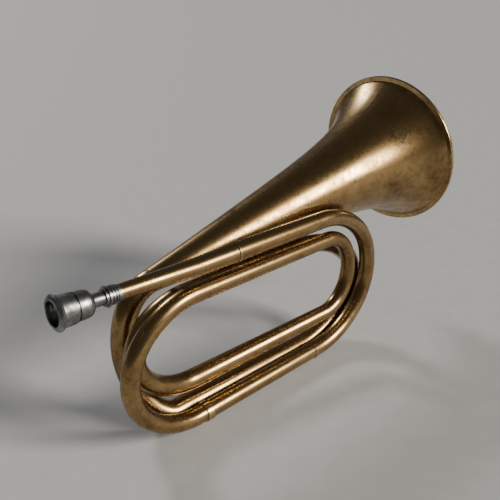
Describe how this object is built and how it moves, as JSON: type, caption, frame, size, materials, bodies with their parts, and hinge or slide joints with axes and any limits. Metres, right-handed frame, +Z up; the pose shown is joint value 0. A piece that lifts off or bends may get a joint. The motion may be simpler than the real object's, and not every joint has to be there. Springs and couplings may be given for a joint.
{
  "type": "bugle",
  "caption": "Coiled brass bugle with a flared bell, stacked loops of tube, a sliding bow for tuning and a silver cup mouthpiece that pulls out.",
  "frame": {"origin": "centre of the bell mouth, in the plane of the rim's flat front face", "axes": "+X along the straight tubes towards the bell, +Y from the front coil to the bell's layer, +Z up from the bottom tubes to the leadpipe"},
  "size_m": [0.4139, 0.1524, 0.2403],
  "materials": {
    "aged_brass": "aged, satin",
    "brass_trim": "worn bright edges",
    "silver_plate": "satin silver plate"
  },
  "bodies": {
    "horn": {"bell_brace": "brass_trim", "bell_flare": "aged_brass", "bell_rim_wire": "brass_trim", "bell_stem": "aged_brass", "bottom_left_brace": "brass_trim", "bottom_outer_tube": "aged_brass", "bottom_right_brace": "brass_trim", "front_left_bow": "aged_brass", "inner_bottom_tube": "aged_brass", "inner_right_bow": "aged_brass", "inner_top_tube": "aged_brass", "leadpipe": "aged_brass", "leadpipe_brace": "brass_trim", "lower_slide_ferrule": "brass_trim", "middle_bottom_tube": "aged_brass", "middle_left_bow": "aged_brass", "middle_right_bow": "aged_brass", "middle_top_tube": "aged_brass", "mouthpiece_receiver": "silver_plate", "outer_left_bow": "aged_brass", "rear_bow_ferrule": "brass_trim", "top_left_brace": "brass_trim", "top_right_brace": "brass_trim", "upper_slide_ferrule": "brass_trim"},
    "tuning_slide": {"upper_slide_leg": "aged_brass", "upper_slide_inner_tube": "aged_brass", "outer_right_bow": "aged_brass", "lower_slide_inner_tube": "aged_brass"},
    "mouthpiece": {"mouthpiece_cup": "silver_plate", "mouthpiece_shank": "silver_plate"}
  },
  "joints": [
    {"name": "tuning_slide", "type": "slide", "parent": "horn", "child": "tuning_slide", "axis": [1, 0, 0], "range_m": [0, 0.022]},
    {"name": "mouthpiece_pull", "type": "slide", "parent": "horn", "child": "mouthpiece", "axis": [-0.9993, 0, 0.0366], "range_m": [0, 0.03]}
  ]
}
